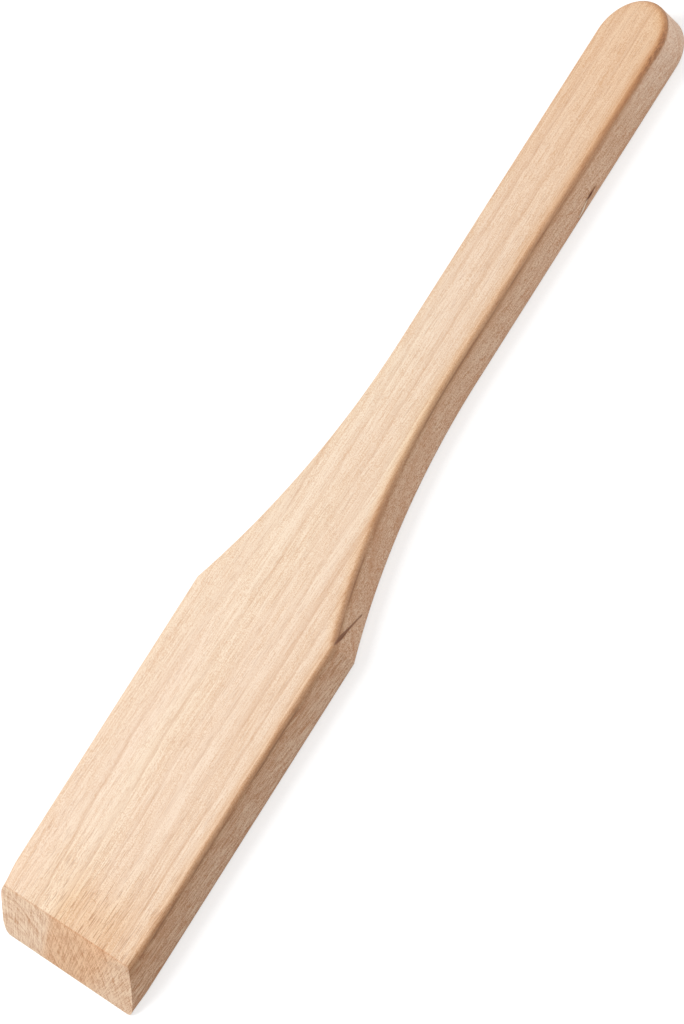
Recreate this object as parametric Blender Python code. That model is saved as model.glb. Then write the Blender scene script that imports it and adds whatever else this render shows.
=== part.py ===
"""A flat wooden spatula for stirring and scraping, made from one board of beech.

It is made as the real one is: the paddle outline is sawn from a planed board, its long
edges are rounded over on both faces with a router, and the blade's end is then sawn off
at a slant, so that the cut stays crisp and its back edge scrapes the pan.

The spatula lies on its back face. +Y runs from the sawn end to the tip of the handle,
+X is its right side seen from above, and the origin is under the middle of its length.
"""
import math

import bmesh
import bpy
from mathutils import Vector

# Driving sizes, in metres and degrees.
overall_length = 0.300      # scraping edge to the tip of the handle
blade_length = 0.107        # scraping edge to the shoulders
blade_width = 0.060
handle_width = 0.0246
board_thickness = 0.0105
sweep_radius = 0.195        # hollow curve from each shoulder into the handle
edge_rounding = 0.0015      # router radius on both faces
end_slope_degrees = 45.0    # sawn end against the back face

# How finely the curves are cut into flat facets.
facet_length = 0.0015
rounding_facets = 5
least_arc_facets = 8

# How far the saw runs past the board, and how much of the board one rounding may take.
saw_overrun = 0.004
rounding_limit_share = 0.45

beech_colour = (0.80, 0.58, 0.40, 1.0)
beech_roughness = 0.55

# Places along the spatula that follow from the driving sizes.
scraping_edge_y = -overall_length / 2
uncut_end_y = scraping_edge_y - edge_rounding - saw_overrun
shoulder_y = scraping_edge_y + blade_length
tip_radius = handle_width / 2
tip_centre_y = overall_length / 2 - tip_radius
shoulder_drop = (blade_width - handle_width) / 2
sweep_angle = math.acos(1 - shoulder_drop / sweep_radius)
handle_start_y = shoulder_y + sweep_radius * math.sin(sweep_angle)


def clear_scene():
    """Remove whatever the opened scene holds."""
    for thing in list(bpy.data.objects):
        bpy.data.objects.remove(thing, do_unlink=True)


def make_beech():
    """Bare, sanded beech, with no oil or varnish on it."""
    beech = bpy.data.materials.new("beech")
    beech.use_nodes = True
    shader = beech.node_tree.nodes["Principled BSDF"]
    shader.inputs["Base Color"].default_value = beech_colour
    shader.inputs["Roughness"].default_value = beech_roughness
    shader.inputs["Metallic"].default_value = 0.0
    return beech


def arc_points(centre, radius, start_angle, end_angle):
    """Points of an arc, both ends included, about one facet length apart."""
    turn = end_angle - start_angle
    facets = max(math.ceil(abs(turn) * radius / facet_length), least_arc_facets)
    points = []
    for step in range(facets + 1):
        angle = start_angle + turn * step / facets
        points.append(centre + radius * Vector((math.cos(angle), math.sin(angle))))
    return points


def right_side_points():
    """Right half of the paddle outline, from the uncut end of the board up to the tip."""
    sweep_centre = Vector((tip_radius + sweep_radius, handle_start_y))
    tip_centre = Vector((0.0, tip_centre_y))
    points = [Vector((blade_width / 2, uncut_end_y))]
    points += arc_points(sweep_centre, sweep_radius, math.pi + sweep_angle, math.pi)
    points += arc_points(tip_centre, tip_radius, 0.0, math.pi / 2)
    return points


def mesh_object(name, bm):
    """Close the mesh's normals outwards and link it as an object of its own."""
    bmesh.ops.recalc_face_normals(bm, faces=bm.faces)
    mesh = bpy.data.meshes.new(name)
    bm.to_mesh(mesh)
    bm.free()
    thing = bpy.data.objects.new(name, mesh)
    bpy.context.scene.collection.objects.link(thing)
    return thing


def extruded(name, corners, sweep):
    """A solid with a flat outline, given as 3D corners, pushed along one direction."""
    bm = bmesh.new()
    outline = bm.faces.new([bm.verts.new(corner) for corner in corners])
    pushed = bmesh.ops.extrude_face_region(bm, geom=[outline])
    moved = [item for item in pushed["geom"] if isinstance(item, bmesh.types.BMVert)]
    bmesh.ops.translate(bm, verts=moved, vec=sweep)
    return mesh_object(name, bm)


def sawn_paddle():
    """The paddle blank: the outline sawn square through the planed board."""
    right = right_side_points()
    left = [Vector((-point.x, point.y)) for point in reversed(right[:-1])]
    corners = [point.to_3d() for point in right + left]
    return extruded("spatula", corners, Vector((0.0, 0.0, board_thickness)))


def slanted_saw():
    """The waste that the slanted end cut takes away, as a cutter right across the blade."""
    rise_per_run = math.tan(math.radians(end_slope_degrees))
    bottom_z = -saw_overrun
    top_z = board_thickness + saw_overrun
    far_y = uncut_end_y - saw_overrun / rise_per_run
    side_x = blade_width / 2 + saw_overrun
    corners = [
        Vector((-side_x, far_y, bottom_z)),
        Vector((-side_x, scraping_edge_y + bottom_z / rise_per_run, bottom_z)),
        Vector((-side_x, scraping_edge_y + top_z / rise_per_run, top_z)),
        Vector((-side_x, far_y, top_z)),
    ]
    saw = extruded("end_saw", corners, Vector((2 * side_x, 0.0, 0.0)))
    saw.hide_render = True
    saw.display_type = "WIRE"
    return saw


def round_over(paddle):
    """Round the long edges of both faces; the upright edges of the shoulders stay sharp."""
    rounding = paddle.modifiers.new("edge_rounding", "BEVEL")
    rounding.width = min(edge_rounding, rounding_limit_share * board_thickness)
    rounding.segments = rounding_facets
    rounding.limit_method = "ANGLE"
    rounding.angle_limit = math.radians(60)
    rounding.use_clamp_overlap = False


def saw_end(paddle, saw):
    """Saw the blade's end off at its slant, after the rounding, so that the cut is crisp."""
    cut = paddle.modifiers.new("end_cut", "BOOLEAN")
    cut.operation = "DIFFERENCE"
    cut.solver = "EXACT"
    cut.object = saw


clear_scene()
spatula = sawn_paddle()
spatula.data.materials.append(make_beech())
spatula.data.shade_smooth()
spatula.data.set_sharp_from_angle(angle=math.radians(30))
round_over(spatula)
saw_end(spatula, slanted_saw())
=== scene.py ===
import math
from types import SimpleNamespace

import bpy
from mathutils import Matrix, Vector


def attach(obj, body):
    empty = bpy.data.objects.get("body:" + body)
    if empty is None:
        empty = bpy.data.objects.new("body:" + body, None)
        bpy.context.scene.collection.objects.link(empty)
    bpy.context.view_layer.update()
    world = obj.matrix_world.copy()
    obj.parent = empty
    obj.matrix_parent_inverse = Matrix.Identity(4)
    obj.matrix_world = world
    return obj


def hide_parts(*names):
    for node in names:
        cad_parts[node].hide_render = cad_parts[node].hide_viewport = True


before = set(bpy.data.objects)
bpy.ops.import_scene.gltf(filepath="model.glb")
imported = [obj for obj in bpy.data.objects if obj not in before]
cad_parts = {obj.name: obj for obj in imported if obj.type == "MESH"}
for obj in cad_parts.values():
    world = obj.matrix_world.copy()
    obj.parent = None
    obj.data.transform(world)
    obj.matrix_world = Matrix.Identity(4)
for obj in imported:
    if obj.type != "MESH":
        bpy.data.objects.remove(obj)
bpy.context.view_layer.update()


# The spatula: one board of bare beech, sawn to a paddle and rounded over with a router
# along its edges. Its blade end is sawn off last, at a slant, and shows the end grain.
# It is all one piece, with nothing fixed to it and no oil or varnish on it.

paddle_sizes = {
    "Overall Length": 0.300,
    "Blade Length": 0.107,
    "Blade Width": 0.060,
    "Handle Width": 0.0246,
    "Board Thickness": 0.0105,
    "Sweep Radius": 0.195,          # hollow curve from each shoulder into the handle
    "Edge Rounding": 0.0015,
    "Flat Lip": 0.0025,             # flat strip inside the rounding, swept along with it
    "End Slope": math.radians(45),  # sawn end against the back face
    "Saw Overrun": 0.006,           # length of board that the end cut takes off
    "Sanded Off": 0.00062,          # taken off the edges beside the sawn end
    "Rubbed In": 0.0006,            # taken off the front right edge there
    "Sanded Length": 0.008,
    "Point Spacing": 0.001,
}
waste_block = (0.08, 0.04, 0.04)    # taken away by the end cut; wider than the board
softened_arris = 0.0003
arris_facets = 4
crease_degrees = 20                 # edges that turn more than this stay crisp
touching = 0.00001                  # points nearer than this are made one
lip_spacing = 0.0005
side_spacing = 0.00075
points_in_rounding = 9
tip_closeness = 7                   # points round the tip, for each spacing in its radius

# Marks in the wood: the start, middle and end of each one's bend, its radius, and the
# share of its length at which it is fullest. They taper to a small share of the radius.
nick = ([(0.0296, -0.0422, 0.0100), (0.0277, -0.0376, 0.0072), (0.0251, -0.0313, 0.0032)],
        0.00048, 0.25)
split = ([(0.0123, 0.0940, 0.00246), (0.0123, 0.0963, 0.00258), (0.0123, 0.0986, 0.00256)],
         0.00026, 0.5)
splinter = ([(0.0123, 0.0894, 0.0014), (0.0123, 0.0920, 0.0021), (0.0123, 0.0945, 0.0024)],
            0.00031, 0.5)
points_along_mark = 20
sides_of_mark = 10
least_fullness = 0.03


class Wire:
    """A socket in a node tree. A sum written on wires adds the Math nodes that work it out."""

    def __init__(self, tree, socket=None):
        self.tree = tree
        self.socket = socket

    def pick(self, sockets, key):
        """The socket in use that has this number, name or identifier."""
        if isinstance(key, int):
            return sockets[key]
        return next(s for s in sockets if s.enabled and key in (s.name, s.identifier))

    def node(self, kind, settings=None, inputs=None, out=0):
        """Add any node: its settings first, then the values or wires of its inputs."""
        made = self.tree.nodes.new(kind)
        for name, value in (settings or {}).items():
            if name == "stops":
                marks = made.color_ramp.elements
                for place, tint in value[1:-1]:
                    marks.new(place)
                for mark, (place, tint) in zip(marks, value):
                    mark.color = tint
            else:
                setattr(made, name, value)
        for key, value in (inputs or {}).items():
            socket = self.pick(made.inputs, key)
            for item in value if isinstance(value, list) else [value]:
                if isinstance(item, Wire):
                    self.tree.links.new(item.socket, socket)
                else:
                    socket.default_value = item
        return Wire(self.tree, self.pick(made.outputs, out))

    def math(self, operation, *others):
        return self.node("ShaderNodeMath", {"operation": operation},
                         dict(enumerate((self, *others))))

    def math_after(self, first, operation):
        """A sum in which this wire comes second, as in 1 - wire."""
        return self.node("ShaderNodeMath", {"operation": operation}, {0: first, 1: self})

    def step(self, low, high):
        """0 below low, 1 above high, and a smooth rise between them."""
        return self.node("ShaderNodeMapRange", {"interpolation_type": "SMOOTHSTEP"},
                         {"Value": self, "From Min": low, "From Max": high})

    def __add__(self, other):
        return self.math("ADD", other)

    def __sub__(self, other):
        return self.math("SUBTRACT", other)

    def __rsub__(self, other):
        return self.math_after(other, "SUBTRACT")

    def __mul__(self, other):
        return self.math("MULTIPLY", other)

    def __truediv__(self, other):
        return self.math("DIVIDE", other)

    def __rtruediv__(self, other):
        return self.math_after(other, "DIVIDE")

    def __neg__(self):
        return self.math("MULTIPLY", -1.0)

    __radd__ = __add__
    __rmul__ = __mul__


def point(x, y, z=0.0):
    """A place made up from its coordinates, of which one at least is a wire."""
    wire = next(given for given in (x, y, z) if isinstance(given, Wire))
    return wire.node("ShaderNodeCombineXYZ", inputs={"X": x, "Y": y, "Z": z})


def split_up(place):
    """The three coordinates of a place."""
    return [place.node("ShaderNodeSeparateXYZ", inputs={"Vector": place}, out=name)
            for name in ("X", "Y", "Z")]


def moved(shape, by=(0.0, 0.0, 0.0), turned=(0.0, 0.0, 0.0), scaled=(1.0, 1.0, 1.0)):
    return shape.node("GeometryNodeTransform",
                      inputs={"Geometry": shape, "Translation": by,
                              "Rotation": turned, "Scale": scaled})


def straight(start, end, spacing):
    """A straight line with its points so far apart."""
    line = start.node("GeometryNodeCurvePrimitiveLine", inputs={"Start": start, "End": end})
    return line.node("GeometryNodeResampleCurve", {"mode": "LENGTH"},
                     {"Curve": line, "Length": spacing})


def bend(centre, radius, start_angle, turn, points):
    """A line bent round a centre."""
    arc = centre.node("GeometryNodeCurveArc", {"mode": "RADIUS"},
                      {"Resolution": points, "Radius": radius,
                       "Start Angle": start_angle, "Sweep Angle": turn})
    return moved(arc, by=centre)


def joined(*pieces):
    return pieces[0].node("GeometryNodeJoinGeometry", inputs={"Geometry": list(pieces)})


def welded(shape):
    """A shape with its touching points made one."""
    return shape.node("GeometryNodeMergeByDistance",
                      inputs={"Geometry": shape, "Distance": touching})


def one_line(*pieces):
    """Lines that meet end to end, made one unbroken line."""
    edges = pieces[0].node("GeometryNodeCurveToMesh", inputs={"Curve": joined(*pieces)})
    return edges.node("GeometryNodeMeshToCurve", inputs={"Mesh": welded(edges)})


def paddle_outline(size):
    """The line round the paddle, from the uncut end of the board to the tip and back."""
    half_blade = size["Blade Width"] / 2
    half_handle = size["Handle Width"] / 2
    sweep_radius = size["Sweep Radius"]
    spacing = size["Point Spacing"]
    end_y = size["Overall Length"] / -2
    uncut_y = end_y - size["Saw Overrun"]
    shoulder_y = end_y + size["Blade Length"]
    sweep_turn = (1 - (half_blade - half_handle) / sweep_radius).math("ARCCOSINE")
    handle_start_y = shoulder_y + sweep_radius * sweep_turn.math("SINE")
    tip_y = size["Overall Length"] / 2 - half_handle

    right = joined(
        straight(point(half_blade, uncut_y), point(half_blade, shoulder_y), spacing),
        bend(point(half_handle + sweep_radius, handle_start_y), sweep_radius,
             math.pi, sweep_turn, sweep_radius * sweep_turn / spacing),
        straight(point(half_handle, handle_start_y), point(half_handle, tip_y), spacing))
    left = moved(right, scaled=(-1.0, 1.0, 1.0))
    tip = bend(point(0.0, tip_y), half_handle, 0.0, math.pi,
               half_handle * tip_closeness / spacing)
    uncut_end = straight(point(-half_blade, uncut_y), point(half_blade, uncut_y), spacing)
    outline = one_line(right, left, tip, uncut_end)
    return outline.node("GeometryNodeSetCurveNormal", {"mode": "Z_UP"}, {"Curve": outline})


def rounded_rim(outline, size):
    """The side of the board with the rounding and a flat lip on each face, swept round."""
    thickness = size["Board Thickness"]
    rounding = size["Edge Rounding"]
    inner = -rounding - size["Flat Lip"]
    quarter = math.pi / 2
    section = one_line(
        straight(point(inner, thickness), point(-rounding, thickness), lip_spacing),
        bend(point(-rounding, thickness - rounding), rounding, 0.0, quarter,
             points_in_rounding),
        straight(point(0.0, thickness - rounding), point(0.0, rounding), side_spacing),
        bend(point(-rounding, rounding), rounding, -quarter, quarter, points_in_rounding),
        straight(point(-rounding, 0.0), point(inner, 0.0), lip_spacing))
    rim = outline.node("GeometryNodeCurveToMesh",
                       inputs={"Curve": outline, "Profile Curve": section})
    return moved(rim, by=point(0.0, 0.0, thickness))


def filled_in(rim, size):
    """The flats of the front and the back, laid inside the rim's lips and joined to them."""
    thickness = size["Board Thickness"]
    height = split_up(rim.node("GeometryNodeInputPosition"))[2]
    faces_at_edge = rim.node("GeometryNodeInputMeshEdgeNeighbors")
    at_lip = rim.node("FunctionNodeCompare", {"data_type": "INT", "operation": "EQUAL"},
                      {"A": faces_at_edge, "B": 1})
    on_top = rim.node("FunctionNodeCompare", {"operation": "GREATER_THAN"},
                      {"A": height, "B": thickness / 2})
    top_lip = rim.node("FunctionNodeBooleanMath", {"operation": "AND"}, {0: at_lip, 1: on_top})
    lip_line = rim.node("GeometryNodeMeshToCurve", inputs={"Mesh": rim, "Selection": top_lip})
    flat = rim.node("GeometryNodeFillCurve", {"mode": "NGONS"}, {"Curve": lip_line})
    front = moved(flat, by=point(0.0, 0.0, thickness))
    back = rim.node("GeometryNodeFlipFaces", inputs={"Mesh": flat})
    return welded(joined(rim, front, back))


def sanded(paddle, size):
    """The long edges sanded fuller beside the sawn end, and the front right one rubbed in."""
    thickness = size["Board Thickness"]
    end_y = size["Overall Length"] / -2
    x, y, z = split_up(paddle.node("GeometryNodeInputPosition"))
    below_face = z.math("MINIMUM", thickness - z)
    inside_side = size["Blade Width"] / 2 - x.math("ABSOLUTE")
    from_corner = (inside_side * inside_side + below_face * below_face).math("SQRT")
    near_end = 1 - (y - z - end_y).step(0.0, size["Sanded Length"])
    right = x.step(-0.001, 0.001)
    front_right = right * z.step(thickness * 0.45, thickness * 0.55)

    # The two left edges are sanded most and the back right one less. The front right edge
    # is rubbed in from the side instead.
    fuller = (1 - from_corner.step(0.0006, 0.0028)) * (1 - front_right) * (1 - right * 0.4)
    inward = fuller * near_end * size["Sanded Off"] * math.sqrt(0.5)
    leaned = (1 - below_face.step(0.0004, 0.0045)) * (1 - inside_side.step(0.0015, 0.004))
    sideways = inward + leaned * front_right * near_end * size["Rubbed In"]
    rubbed = point(-sideways * x.math("SIGN"), 0.0, inward * (thickness / 2 - z).math("SIGN"))
    return paddle.node("GeometryNodeSetPosition", inputs={"Geometry": paddle, "Offset": rubbed})


def fullness(share, peak):
    """How full a mark is at a share of its length: it tapers slowly past the peak."""
    rise = (share / peak).math("MINIMUM", 1.0)
    fall = ((1 - share) / (1 - peak)).math("MINIMUM", 1.0)
    return rise * fall * fall


def sliver(wood, path, radius, peak):
    """A slim round sliver along the bend of a mark."""
    start, middle, end = path
    line = wood.node("GeometryNodeCurveQuadraticBezier",
                     inputs={"Resolution": points_along_mark, "Start": start,
                             "Middle": middle, "End": end})
    section = wood.node("GeometryNodeCurvePrimitiveCircle", {"mode": "RADIUS"},
                        {"Resolution": sides_of_mark, "Radius": radius})
    along = wood.node("GeometryNodeSplineParameter", out="Factor")
    return wood.node("GeometryNodeCurveToMesh",
                     inputs={"Curve": line, "Profile Curve": section,
                             "Scale": fullness(along, peak) + least_fullness,
                             "Fill Caps": True})


def cut(wood, *tools):
    return wood.node("GeometryNodeMeshBoolean", {"operation": "DIFFERENCE", "solver": "EXACT"},
                     {"Mesh 1": wood, "Mesh 2": list(tools)})


def marked(paddle):
    """The nick and the split cut into the wood, and the splinter lifted out of it."""
    paddle = cut(paddle, sliver(paddle, *nick), sliver(paddle, *split))
    return paddle.node("GeometryNodeMeshBoolean", {"operation": "UNION", "solver": "EXACT"},
                       {"Mesh 2": [paddle, sliver(paddle, *splinter)]})


def sawn_off(paddle, size):
    """The end sawn off at its slope. The new arrises are noted, to be softened later."""
    waste = paddle.node("GeometryNodeMeshCube",
                        inputs={"Size": waste_block, "Vertices X": 2,
                                "Vertices Y": 2, "Vertices Z": 2})
    waste = moved(waste, by=(0.0, -waste_block[1] / 2, 0.0))
    waste = moved(waste, by=point(0.0, size["Overall Length"] / -2, 0.0),
                  turned=point(size["End Slope"] - math.pi / 2, 0.0, 0.0))
    paddle = cut(paddle, waste)
    new_arrises = Wire(paddle.tree, paddle.socket.node.outputs["Intersecting Edges"])
    return paddle.node("GeometryNodeStoreNamedAttribute",
                       {"data_type": "FLOAT", "domain": "EDGE"},
                       {"Geometry": paddle, "Name": "bevel_weight_edge", "Value": new_arrises})


def measured(paddle, outline, size):
    """How far each point lies inside the outline, noted up to the width of the rim."""
    x, y, _ = split_up(paddle.node("GeometryNodeInputPosition"))
    edge = outline.node("GeometryNodeCurveToMesh", inputs={"Curve": outline})
    from_edge = edge.node("GeometryNodeProximity", {"target_element": "EDGES"},
                          {"Target": edge, "Source Position": point(x, y)}, out="Distance")
    from_edge = from_edge.math("MINIMUM", size["Edge Rounding"] + size["Flat Lip"])
    return paddle.node("GeometryNodeStoreNamedAttribute",
                       {"data_type": "FLOAT", "domain": "POINT"},
                       {"Geometry": paddle, "Name": "from_edge", "Value": from_edge})


def paddle_tree():
    """The tree that makes the paddle out of its named sizes, in the order of the work."""
    tree = bpy.data.node_groups.new("paddle", "GeometryNodeTree")
    for label in paddle_sizes:
        tree.interface.new_socket(label, in_out="INPUT", socket_type="NodeSocketFloat")
    tree.interface.new_socket("Wood", in_out="INPUT", socket_type="NodeSocketMaterial")
    tree.interface.new_socket("Spatula", in_out="OUTPUT", socket_type="NodeSocketGeometry")
    given = tree.nodes.new("NodeGroupInput")
    size = {socket.name: Wire(tree, socket) for socket in given.outputs if socket.name}

    outline = paddle_outline(size)
    paddle = filled_in(rounded_rim(outline, size), size)
    paddle = marked(sanded(paddle, size))
    paddle = measured(sawn_off(paddle, size), outline, size)
    whole = paddle.node("GeometryNodeRealizeInstances", inputs={"Geometry": paddle})
    finished = whole.node("GeometryNodeSetMaterial",
                          inputs={"Geometry": whole, "Material": size["Wood"]})
    output = tree.nodes.new("NodeGroupOutput")
    tree.links.new(finished.socket, output.inputs[0])
    return tree


def shade(red, green, blue):
    """A colour as a paint chart gives it, 0 to 255, in the linear values a shader takes."""
    linear = [c / 12.92 if c <= 0.04045 else ((c + 0.055) / 1.055) ** 2.4
              for c in (red / 255, green / 255, blue / 255)]
    return (*linear, 1.0)


cream = shade(253, 232, 207)
pink_cream = shade(250, 226, 203)
tan = shade(229, 191, 156)
ring_tan = shade(211, 165, 126)
fibre_brown = shade(186, 137, 100)
# The nick's and the crack's browns are partly painted shade in their depth.
nick_stain_and_shade = shade(144, 98, 68)
crack_dark_and_shade = shade(112, 66, 42)
scorch_brown = shade(150, 104, 70)
splinter_pale_and_highlight = shade(255, 238, 216)
# Pale torn wood, painted lighter as a highlight on the splinter's raised top.
side_cream = shade(255, 240, 220)
side_tan = shade(211, 168, 133)
end_cream = shade(255, 236, 213)
end_tan = shade(207, 160, 122)

# Tints, by which the colour of the wood is multiplied.
right_tint = (0.99, 0.975, 0.945, 1.0)
handle_tint = (0.985, 0.885, 0.775, 1.0)
near_saw_tint = (0.99, 0.96, 0.92, 1.0)
wedge_tint = (0.95, 0.87, 0.77, 1.0)
end_tint = (0.99, 0.905, 0.83, 1.0)
end_wedge_tint = (0.945, 0.82, 0.70, 1.0)
end_right_tint = (1.02, 0.985, 0.955, 1.0)
end_arris_tint = (0.97, 0.88, 0.80, 1.0)
tip_burn_tint = (0.87, 0.78, 0.68, 1.0)
tip_side_tint = (0.98, 0.90, 0.88, 1.0)

# Tints of the long edges, by mm past the middle of the front edge's rounding: minus on
# the face, plus on the side. They brown the rounding, darkest at the top of the side, and
# grow paler down the side: painted light, lifting its foot where the floor shades it.
edge_tints_and_painted_light = [
    (-4.0, (1.00, 1.00, 1.00, 1.0)),
    (-3.2, (0.99, 0.97, 0.94, 1.0)),
    (-2.4, (0.98, 0.94, 0.88, 1.0)),
    (-1.6, (0.96, 0.87, 0.77, 1.0)),
    (-0.8, (0.86, 0.70, 0.55, 1.0)),
    (0.0, (0.81, 0.61, 0.46, 1.0)),
    (0.7, (0.70, 0.50, 0.365, 1.0)),
    (1.6, (0.68, 0.49, 0.365, 1.0)),
    (2.1, (0.76, 0.585, 0.465, 1.0)),
    (2.7, (0.87, 0.71, 0.61, 1.0)),
    (5.25, (0.91, 0.76, 0.67, 1.0)),
    (9.5, (0.99, 0.84, 0.76, 1.0)),
]

# The wood is worked out in mm: the numbers in it are mm, spots to the mm, degrees or shares.
mm = 1000.0
thickness_mm = paddle_sizes["Board Thickness"] * mm
pith_x, pith_z = -31.0, -35.0       # heart of the tree, below the left edge of the blade
over_pith = 40.0                    # the middle of the board above the heart of the tree
ring_width = 4.4
far_off = (431.7, 912.3, 277.1)     # picks which part of the random figure is used
side_lean = 0.12                    # how far the dashes on the side lean over
fleck_lean = 0.06                   # how far the flecks run out of line
check_angle = 59.5                  # fine crack beside the wedge, in degrees round the pith


def vector_math(operation, *terms, out="Vector"):
    return terms[0].node("ShaderNodeVectorMath", {"operation": operation},
                         dict(enumerate(terms)), out=out)


def noise(place, per_mm, detail=1.0, out="Fac"):
    """Soft random spots, so many to the millimetre along each axis."""
    return place.node("ShaderNodeTexNoise", {},
                      {"Vector": vector_math("MULTIPLY", place, per_mm),
                       "Scale": 1.0, "Detail": detail}, out=out)


def drift(place, per_mm, reach):
    """Pull a place about by up to half of reach, in mm, as the grain wanders."""
    pull = vector_math("SUBTRACT", noise(place, per_mm, out="Color"), (0.5, 0.5, 0.5))
    return vector_math("ADD", place, vector_math("MULTIPLY", pull, reach))


def blend(share, under, over, mode="MIX"):
    return share.node("ShaderNodeMix", {"data_type": "RGBA", "blend_type": mode},
                      {"Factor": share, "A": under, "B": over}, out="Result")


def tinted(colour, share, tint):
    return blend(share, colour, tint, "MULTIPLY")


def find_on_board(wood):
    """Where a spot lies on the board, in mm, and how much of it is on each part, 0 to 1."""
    spot = SimpleNamespace()
    spot.place = wood.node("ShaderNodeVectorMath", {"operation": "SCALE"},
                           {"Vector": wood.node("ShaderNodeTexCoord", out="Object"),
                            "Scale": mm})
    spot.x, spot.y, spot.z = split_up(spot.place)
    facing = split_up(wood.node("ShaderNodeTexCoord", out="Normal"))
    near_blade_end = 1 - spot.y.step(-130.0, -120.0)
    spot.on_end = facing[1].math("ABSOLUTE").step(0.35, 0.68) * near_blade_end
    spot.off_end = 1 - spot.on_end
    spot.from_cut = spot.y - spot.z
    spot.near_saw = 1 - spot.from_cut.step(-149.0, -116.0)

    # Mm past the middle of the front edge's rounding: minus on the face, plus on the side.
    from_edge = wood.node("ShaderNodeAttribute", {"attribute_name": "from_edge"}, out="Fac") * mm
    spot.round_edge = thickness_mm - spot.z - from_edge
    spot.off_back = (spot.z - from_edge).step(-1.3, 0.6)
    spot.on_side = spot.round_edge.step(0.6, 1.8) * spot.off_back * spot.off_end
    spot.tip_side = spot.round_edge.step(1.0, 2.2) * spot.off_back * spot.y.step(92.0, 143.0)

    # How strongly the edges are tinted and scorched: 1 on the right, 0.4 on the left.
    spot.rightward = spot.x.step(-8.0, 8.0) * 0.6 + 0.4
    return spot


def find_in_tree(spot):
    """Where the same spot lay in the tree: in which ring, and in which of its fibres."""
    grain = SimpleNamespace()

    # The grain wanders: far in long bends, and less far in shorter ones.
    place = vector_math("ADD", spot.place, far_off)
    place = drift(place, (0.016, 0.006, 0.016), (6.0, 0.0, 6.0))
    place = drift(place, (0.05, 0.03, 0.05), (1.3, 0.0, 1.3))
    place = drift(place, (0.20, 0.10, 0.20), (0.35, 0.0, 0.35))
    x, y, z = split_up(vector_math("SUBTRACT", place, far_off))
    grain.place = place

    # The rings are uneven. Each darkens into its latewood and ends in a broken line.
    from_pith_x, from_pith_z = x - pith_x, z - pith_z
    radius = (from_pith_x * from_pith_x + from_pith_z * from_pith_z).math("SQRT")
    grain.degrees = from_pith_z.math("ARCTAN2", from_pith_x) * math.degrees(1.0)
    uneven = noise(point(radius, y), (0.35, 0.002, 0.0))
    ring = (radius / ring_width + (uneven - 0.5) * 0.7 + 0.95).math("FRACT")
    broken = noise(place, (0.2, 0.03, 0.2)).step(0.40, 0.6)
    grain.latewood = ring.step(0.4, 0.93) * (1 - ring.step(0.94, 1.0))
    grain.ring_line = ring.step(0.80, 0.93) * (1 - ring.step(0.93, 1.0)) * broken

    # The figure runs along the grain, from long broad bands down to specks.
    grain.bands = noise(place, (0.17, 0.002, 0.17))
    grain.stripes = noise(place, (0.52, 0.008, 0.52))
    grain.streaks = noise(place, (1.10, 0.018, 1.10))
    grain.fibres = noise(place, (2.2, 0.04, 2.2))
    grain.threads = noise(place, (3.4, 0.12, 3.4))
    grain.speckle = noise(place, (3.6, 2.8, 3.6))
    grain.leaning = point(x, y, z + y * side_lean)
    grain.tilted = point(x - y * fleck_lean, y, z)
    grain.flecks = noise(grain.tilted, (3.5, 0.22, 3.5), detail=0.0).step(0.57, 0.72)
    return grain


def face_figure(spot, grain):
    """The planed face: long bands and stripes, and fine fibres all along them."""
    figure = (grain.bands - 0.5) * 0.75 + (grain.stripes - 0.5) * 0.4
    figure += (grain.streaks - 0.5) * 0.35
    figure += ((grain.fibres - 0.5) * 0.95 + (grain.threads - 0.5) * 1.3
               + (grain.speckle - 0.5) * 2.8)
    return figure * (1 + spot.near_saw * 0.35 + spot.y.step(-20.0, 60.0) * 0.1)


def side_figure(spot, grain):
    """The sawn side: short dashes that lean over, calmer past the blade."""
    dashes = noise(grain.leaning, (1.5, 0.12, 1.5))
    fine_dashes = noise(grain.leaning, (3.2, 0.24, 3.2))
    past_blade = spot.y.step(-52.0, -22.0)
    figure = ((dashes - 0.5) * 1.1 + (fine_dashes - 0.5) * 2.6) * (1 - past_blade * 0.45)
    figure += (grain.bands - 0.5) * 0.8 + (grain.speckle - 0.5) * 2.6
    return figure * (1 - spot.y.step(100.0, 140.0) * 0.3)


def end_figure(spot, grain):
    """The sawn end: rays that run out from the pith, and growth lines across them."""
    across, up = spot.x - pith_x, spot.z - pith_z
    radius = (across * across + up * up).math("SQRT")
    in_rings = point(radius, spot.y, across / up * over_pith)
    rays = noise(in_rings, (0.20, 0.1, 1.6), detail=0.0)
    fine_rays = noise(in_rings, (0.34, 0.1, 3.2), detail=0.0)
    growth_lines = noise(in_rings, (2.9, 0.1, 0.30), detail=0.0)
    figure = (rays - 0.5) * 0.5 + (fine_rays - 0.5) * 1.4 + (growth_lines - 0.5) * 1.0
    return figure + ((grain.speckle - 0.5) * 2.0 + (grain.latewood - 0.3) * 0.12
                     + grain.ring_line * 0.35)


def bare_wood(spot, grain):
    """Clean beech: its face, its sides and its sawn end each have a figure of their own."""
    warmth = noise(spot.place, (0.05, 0.012, 0.05)).step(0.35, 0.65)
    face = blend(face_figure(spot, grain) + 0.36, blend(warmth, cream, pink_cream), tan)
    side = blend(side_figure(spot, grain) + 0.42, side_cream, side_tan)
    end = blend(end_figure(spot, grain) + 0.34, end_cream, end_tan)
    colour = blend(spot.on_side, face, side)
    colour = blend(grain.latewood * 0.22 + grain.ring_line * 0.22, colour, ring_tan)
    return blend(spot.on_end, colour, end)


def flecked(colour, spot, grain):
    """Short brown flecks, in clumps, stronger near the sawn end."""
    clumps = noise(grain.place, (0.16, 0.03, 0.16)).step(0.38, 0.62) * 0.08 + 0.17
    clumps += spot.near_saw * (spot.x.step(-22.0, -8.0) * 0.30 + 0.14)
    return blend(grain.flecks * clumps * spot.off_end, colour, fibre_brown)


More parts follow.
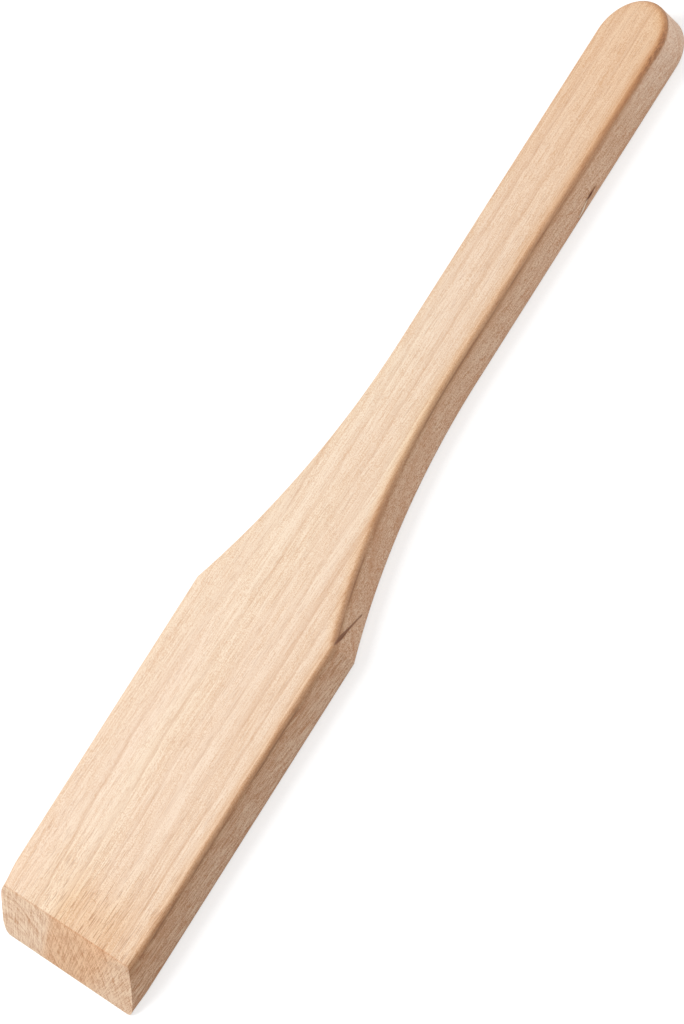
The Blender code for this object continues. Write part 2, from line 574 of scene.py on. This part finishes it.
def browned_wedge(colour, spot, grain):
    """A browner wedge in the sawn end, fading along the face, with a fine crack at its left."""
    wedge = grain.degrees.step(37.0, 44.0) * (1 - grain.degrees.step(58.5, 64.0))
    fading = 1 - spot.from_cut.step(-146.0, -131.0)
    colour = tinted(colour, wedge * fading * spot.off_end, wedge_tint)
    colour = tinted(colour, wedge * spot.on_end, end_wedge_tint)
    off_check = (grain.degrees - check_angle).math("ABSOLUTE").step(0.1, 0.35)
    check = (1 - off_check) * (1 - spot.on_end * 0.8)
    check *= 1 - spot.y.step(-142.0, -128.0)
    return blend(check * 0.7, colour, fibre_brown)


def edges_tinted_with_painted_light(colour, spot, grain):
    """Edges tinted browner over the rounding and the top of the side, and paler down the side:
    painted light where the floor shades its foot. A dark broken line runs down the right side.
    """
    low, high = edge_tints_and_painted_light[0][0], edge_tints_and_painted_light[-1][0]
    stops = [((at - low) / (high - low), tint) for at, tint in edge_tints_and_painted_light]
    tints = spot.round_edge.node("ShaderNodeValToRGB", {"stops": stops},
                                 {"Fac": (spot.round_edge - low) / (high - low)}, out="Color")
    edge_tint_share = spot.round_edge.step(0.9, 2.4) * (1 - spot.rightward) + spot.rightward
    edge_tint_share *= spot.off_end * (1 - spot.tip_side) * spot.off_back
    # Painted light: the tints grow paler down the side, toward the floor that shades it.
    colour = tinted(colour, edge_tint_share, tints)
    dark_line = spot.round_edge.step(0.9, 1.2) * (1 - spot.round_edge.step(1.35, 1.75))
    dark_line *= spot.rightward
    dark_line *= (noise(grain.place, (0.25, 0.05, 0.25)).step(0.44, 0.60)
                  * spot.off_end * (1 - spot.tip_side))
    return blend(dark_line * 0.7, colour, scorch_brown)


def scorched(colour, spot, grain):
    """The edge near the tip, where the router was slowest and scorched the wood."""
    tip_burn = spot.round_edge.step(-1.8, 0.0) * spot.y.step(96.0, 125.0) * spot.rightward
    tip_burn *= 1 - spot.y.step(139.0, 146.0)
    colour = tinted(colour, tip_burn * (1 - spot.tip_side), tip_burn_tint)
    scorch = spot.round_edge.step(-1.2, 0.2) * (1 - spot.round_edge.step(1.2, 2.0))
    scorch *= spot.rightward
    scorch *= spot.y.step(124.0, 134.0) * (1 - spot.y.step(140.0, 146.0)) * 0.8 + 0.2
    scorch *= noise(grain.tilted, (2.8, 0.8, 2.8)).step(0.34, 0.66)
    colour = blend(scorch * 0.8, colour, scorch_brown)
    return tinted(colour, spot.tip_side, tip_side_tint)


def toned(colour, spot):
    """The slow change of tone over the board: to the right, the tip and the sawn end."""
    colour = tinted(colour, spot.x.step(-30.0, 30.0) * spot.off_end, right_tint)
    colour = tinted(colour, spot.y.step(45.0, 150.0) * (1 - spot.on_side), handle_tint)
    colour = tinted(colour, spot.near_saw * spot.off_end, near_saw_tint)
    colour = tinted(colour, spot.on_end, end_tint)
    colour = tinted(colour, spot.on_end * spot.x.step(2.0, 16.0), end_right_tint)
    front_arris = 1 - (thickness_mm - spot.z).step(0.1, 0.7)
    return tinted(colour, front_arris * spot.on_end, end_arris_tint)


def in_mark(spot, path, radius, peak, margin):
    """1 inside a mark of the wood, and 0 from a margin in mm outside it."""
    start, end = (Vector(place) * mm for place in (path[0], path[-1]))
    reach = end - start
    out_from = vector_math("SUBTRACT", spot.place, start)
    share = vector_math("DOT_PRODUCT", out_from, reach, out="Value") / reach.length_squared
    share = share.math("MAXIMUM", 0.0).math("MINIMUM", 1.0)
    nearest = share.node("ShaderNodeVectorMath", {"operation": "SCALE"},
                         {"Vector": reach, "Scale": share})
    gap = vector_math("DISTANCE", out_from, nearest, out="Value")
    return 1 - (gap - fullness(share, peak) * radius * mm).step(0.0, margin)


def marks_stained_and_shaded(colour, spot):
    """The nick and the split are dark inside: stained wood and painted shade in their depth.
    Beside the splinter is a painted shadow, and its pale torn wood has a painted highlight.
    """
    # Painted shade: the nick's groove is darkened along with its stain.
    colour = blend(in_mark(spot, *nick, 0.4), colour, nick_stain_and_shade)
    colour = blend(in_mark(spot, *split, 1.0) * 0.6, colour, fibre_brown)
    # Painted shadow: brown on either side of the raised splinter.
    colour = blend(in_mark(spot, *splinter, 0.8) * 0.8, colour, fibre_brown)
    # Painted shade in the depth of the crack, as well as its dark wood.
    colour = blend(in_mark(spot, *split, 0.2), colour, crack_dark_and_shade)
    # Painted highlight: the splinter's torn wood is painted lighter for light on its top.
    return blend(in_mark(spot, *splinter, 0.15), colour, splinter_pale_and_highlight)


def make_beech():
    """Bare sanded beech, worked out right through the board."""
    beech = bpy.data.materials.new("beech")
    beech.use_nodes = True
    shader = beech.node_tree.nodes["Principled BSDF"]
    spot = find_on_board(Wire(beech.node_tree))
    grain = find_in_tree(spot)
    colour = flecked(bare_wood(spot, grain), spot, grain)
    colour = browned_wedge(colour, spot, grain)
    colour = scorched(edges_tinted_with_painted_light(colour, spot, grain), spot, grain)
    colour = marks_stained_and_shaded(toned(colour, spot), spot)
    height = grain.fibres * 0.4 + grain.threads * 0.6
    height = height - grain.flecks * 0.5 - grain.latewood * 0.2
    relief = height.node("ShaderNodeBump", {}, {"Strength": 0.5, "Distance": 0.00005,
                                                "Height": height})
    roughness = 0.52 + grain.threads * 0.14
    links = beech.node_tree.links
    links.new(colour.socket, shader.inputs["Base Color"])
    links.new(roughness.socket, shader.inputs["Roughness"])
    links.new(relief.socket, shader.inputs["Normal"])
    return beech


def cut_paddle(beech):
    """Run the tree once and keep its result as a plain mesh, its sawn arrises softened."""
    board = bpy.data.objects.new("board", bpy.data.meshes.new("board"))
    bpy.context.scene.collection.objects.link(board)
    cutting = board.modifiers.new("paddle", "NODES")
    cutting.node_group = paddle_tree()
    for item in cutting.node_group.interface.items_tree:
        if item.name in paddle_sizes:
            cutting[item.identifier] = paddle_sizes[item.name]
        if item.name == "Wood":
            cutting[item.identifier] = beech
    softening = board.modifiers.new("softening", "BEVEL")
    softening.limit_method = "WEIGHT"
    softening.width = softened_arris
    softening.segments = arris_facets
    ready = board.evaluated_get(bpy.context.evaluated_depsgraph_get())
    mesh = bpy.data.meshes.new_from_object(ready)
    mesh.name = "beech_paddle"
    bpy.data.objects.remove(board)
    mesh.shade_smooth()
    mesh.set_sharp_from_angle(angle=math.radians(crease_degrees))
    paddle = bpy.data.objects.new("beech_paddle", mesh)
    bpy.context.scene.collection.objects.link(paddle)
    return paddle


paddle = cut_paddle(make_beech())
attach(paddle, "root")
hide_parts("spatula")


# The floor: one flat white sheet, laid level a hair below the back face of the spatula,
# which lies loose on it. The camera sees it glow white, and the shadow still falls on it.

floor_reach = 4.0
floor_drop = 0.0001
floor_grey = (0.5, 0.5, 0.5, 1.0)
floor_roughness = 0.9
floor_glow = 0.66
white = (1.0, 1.0, 1.0, 1.0)


def seen_plainly(tree):
    """1 where a surface is seen straight, mirrored or through glass, 0 where it gives light."""
    rays = [tree.node("ShaderNodeLightPath", out=name)
            for name in ("Is Camera Ray", "Is Glossy Ray", "Is Transmission Ray")]
    return rays[0] + rays[1] + rays[2]


def make_floor():
    corners = [(x * floor_reach, y * floor_reach, -floor_drop)
               for x, y in ((-1, -1), (1, -1), (1, 1), (-1, 1))]
    mesh = bpy.data.meshes.new("floor")
    mesh.from_pydata(corners, [], [(0, 1, 2, 3)])
    floor = bpy.data.objects.new("floor", mesh)
    bpy.context.scene.collection.objects.link(floor)
    sheet = bpy.data.materials.new("white_floor")
    sheet.use_nodes = True
    shader = sheet.node_tree.nodes["Principled BSDF"]
    shader.inputs["Base Color"].default_value = floor_grey
    shader.inputs["Roughness"].default_value = floor_roughness
    shader.inputs["Emission Color"].default_value = white
    glow = seen_plainly(Wire(sheet.node_tree)) * floor_glow
    sheet.node_tree.links.new(glow.socket, shader.inputs["Emission Strength"])
    mesh.materials.append(sheet)


make_floor()


# The light: one large soft box above the blade, a little to the left, and a weak low one
# beyond the right of the handle, in a pale room that gives the rest evenly.

room_light = 0.36


def soft_box(name, place, target, size, watts):
    """Hang a square lamp at a place and turn it to a target."""
    lamp = bpy.data.lights.new(name, "AREA")
    lamp.shape = "RECTANGLE"
    lamp.size = size
    lamp.size_y = size
    lamp.energy = watts
    box = bpy.data.objects.new(name, lamp)
    bpy.context.scene.collection.objects.link(box)
    turn = (Vector(target) - Vector(place)).to_track_quat("-Z", "Y")
    box.matrix_world = Matrix.Translation(place) @ turn.to_matrix().to_4x4()


def make_room():
    """Even light from all round, white where the camera sees it."""
    room = bpy.data.worlds.new("room")
    bpy.context.scene.world = room
    room.use_nodes = True
    background = room.node_tree.nodes["Background"]
    background.inputs["Color"].default_value = white
    strength = room_light + seen_plainly(Wire(room.node_tree)) * (1.0 - room_light)
    room.node_tree.links.new(strength.socket, background.inputs["Strength"])


soft_box("soft_box", place=(-0.40, -0.20, 0.72), target=(0.0, -0.05, 0.0), size=0.5, watts=5.1)
soft_box("side_box", place=(0.45, 0.40, 0.14), target=(0.0, 0.05, 0.0), size=0.3, watts=1.0)
make_room()


# The camera: it stands as in the photograph, above and to the right of the spatula, and is
# rolled over so that the handle runs up the picture to the right.

camera_place = Vector((0.80557, -0.12122, 0.74051))
camera_right = Vector((0.60942, 0.53296, -0.58699))
camera_up = Vector((-0.29763, 0.84000, 0.45367))
camera_data = bpy.data.cameras.new("camera")
camera_data.sensor_width = 36.0
camera_data.lens = 146.406
camera_data.clip_start = 0.01
camera = bpy.data.objects.new("camera", camera_data)
bpy.context.scene.collection.objects.link(camera)
camera_axes = Matrix((camera_right, camera_up, camera_right.cross(camera_up))).transposed()
camera.matrix_world = Matrix.Translation(camera_place) @ camera_axes.to_4x4()
bpy.context.scene.camera = camera

bpy.context.scene.view_settings.view_transform = "Standard"
